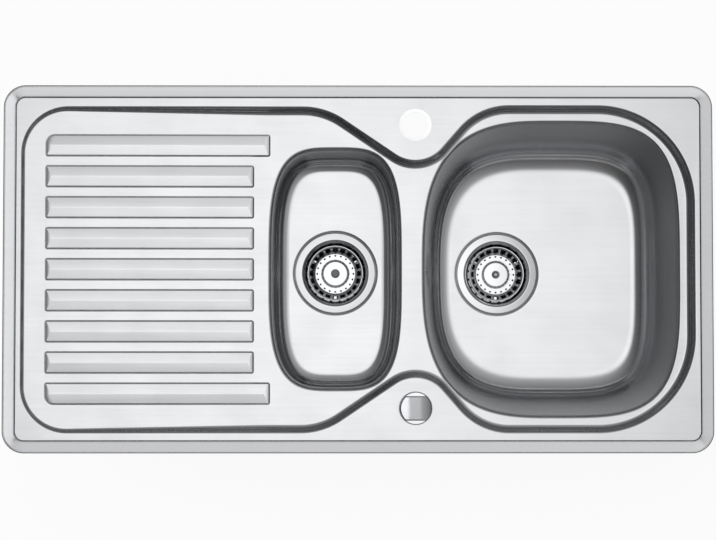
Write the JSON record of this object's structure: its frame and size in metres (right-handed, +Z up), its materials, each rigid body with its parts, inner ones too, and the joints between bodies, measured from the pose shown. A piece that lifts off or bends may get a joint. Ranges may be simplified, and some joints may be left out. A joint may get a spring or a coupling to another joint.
{
  "type": "inset stainless steel sink",
  "caption": "Inset stainless steel kitchen sink with ribbed drainer, half bowl, main bowl, basket strainer wastes, overflow and a rotary pop-up waste control",
  "frame": {"origin": "Middle of the deck's outline, on the plane of the worktop that the rim rests on", "axes": "+X along the deck from the drainer to the main bowl, +Y to the back where the tap stands, +Z up"},
  "size_m": [0.965, 0.5, 0.2942],
  "materials": {
    "sheet_steel": "fine brushed satin",
    "polished_steel": "polished",
    "plated_metal": "bright plating",
    "zinc_steel": "zinc plated",
    "screw_steel": "plain bright",
    "dark_plastic": "moulded, matt",
    "grey_plastic": "moulded, matt",
    "pale_plastic": "moulded, matt",
    "hose_plastic": "smooth",
    "button_plastic": "glossy",
    "black_rubber": "matt",
    "foam": "closed-cell foam",
    "damping_pad": "heavy matt sheet",
    "fibre": "fibre washer"
  },
  "bodies": {
    "sink_body": {"deck": "sheet_steel", "main_bowl": "sheet_steel", "half_bowl": "sheet_steel", "main_sound_pad": "damping_pad", "half_sound_pads": "damping_pad", "rim_gasket": "foam", "clip_rails": "zinc_steel", "clip_brackets": "zinc_steel", "clip_screws": "zinc_steel", "clip_pads": "dark_plastic", "main_strainer_cup": "polished_steel", "main_flange_gasket": "black_rubber", "main_body_seal": "black_rubber", "main_waste_body": "dark_plastic", "main_hollow_screw": "screw_steel", "rocker_gland_nut": "grey_plastic", "half_strainer_cup": "polished_steel", "half_flange_gasket": "black_rubber", "half_body_seal": "black_rubber", "half_waste_body": "dark_plastic", "half_hollow_screw": "screw_steel", "overflow_gasket": "black_rubber", "overflow_elbow": "dark_plastic", "overflow_screw": "screw_steel", "overflow_hose": "hose_plastic", "hose_clips": "zinc_steel", "control_base": "plated_metal", "control_base_seal": "black_rubber", "control_washer": "fibre", "control_lock_nut": "zinc_steel", "control_housing": "grey_plastic", "housing_cover": "grey_plastic", "cover_screws": "screw_steel", "pull_cable": "black_rubber", "cable_ferrule": "zinc_steel"},
    "knob_body": {"control_knob": "plated_metal", "knob_grub_screw": "screw_steel", "control_spindle": "zinc_steel"},
    "slider_body": {"control_slider": "pale_plastic"},
    "rocker_body": {"lift_rocker": "zinc_steel"},
    "wire_body": {"pull_wire": "screw_steel"},
    "pin_body": {"main_lift_pin": "screw_steel"},
    "main_basket_body": {"main_basket": "polished_steel", "main_basket_seal": "black_rubber", "main_basket_stem": "screw_steel", "main_basket_screw": "screw_steel"},
    "half_basket_body": {"half_basket": "polished_steel", "half_basket_seal": "black_rubber", "half_basket_stem": "screw_steel", "half_basket_button": "button_plastic"}
  },
  "joints": [
    {"name": "knob_turn", "type": "hinge", "parent": "sink_body", "child": "knob_body", "pos_m": [0.0774, -0.189, 0.012], "axis": [0, 0, 1], "range_deg": [0, 90]},
    {"name": "slider_pull", "type": "slide", "parent": "sink_body", "child": "slider_body", "axis": [0, -1, 0], "range_m": [0, 0.01077]},
    {"name": "wire_pull", "type": "slide", "parent": "sink_body", "child": "wire_body", "axis": [-1, 0, 0], "range_m": [0, 0.01079]},
    {"name": "rocker_swing", "type": "hinge", "parent": "sink_body", "child": "rocker_body", "pos_m": [0.1846, -0.0395, -0.2274], "axis": [0, -1, 0], "range_deg": [0, 45]},
    {"name": "pin_lift", "type": "slide", "parent": "sink_body", "child": "pin_body", "axis": [0, 0, 1], "range_m": [0, 0.01072]},
    {"name": "main_basket_out", "type": "slide", "parent": "pin_body", "child": "main_basket_body", "axis": [0, 0, 1], "range_m": [0, 0.06]},
    {"name": "half_basket_out", "type": "slide", "parent": "sink_body", "child": "half_basket_body", "axis": [0, 0, 1], "range_m": [0, 0.06]}
  ],
  "couplings": [
    {"joint": "slider_pull", "follows": "knob_turn", "m_per_rad": 0.0068424},
    {"joint": "wire_pull", "follows": "knob_turn", "m_per_rad": 0.0068561},
    {"joint": "rocker_swing", "follows": "knob_turn", "ratio": 0.5},
    {"joint": "pin_lift", "follows": "knob_turn", "m_per_rad": 0.0068118}
  ]
}
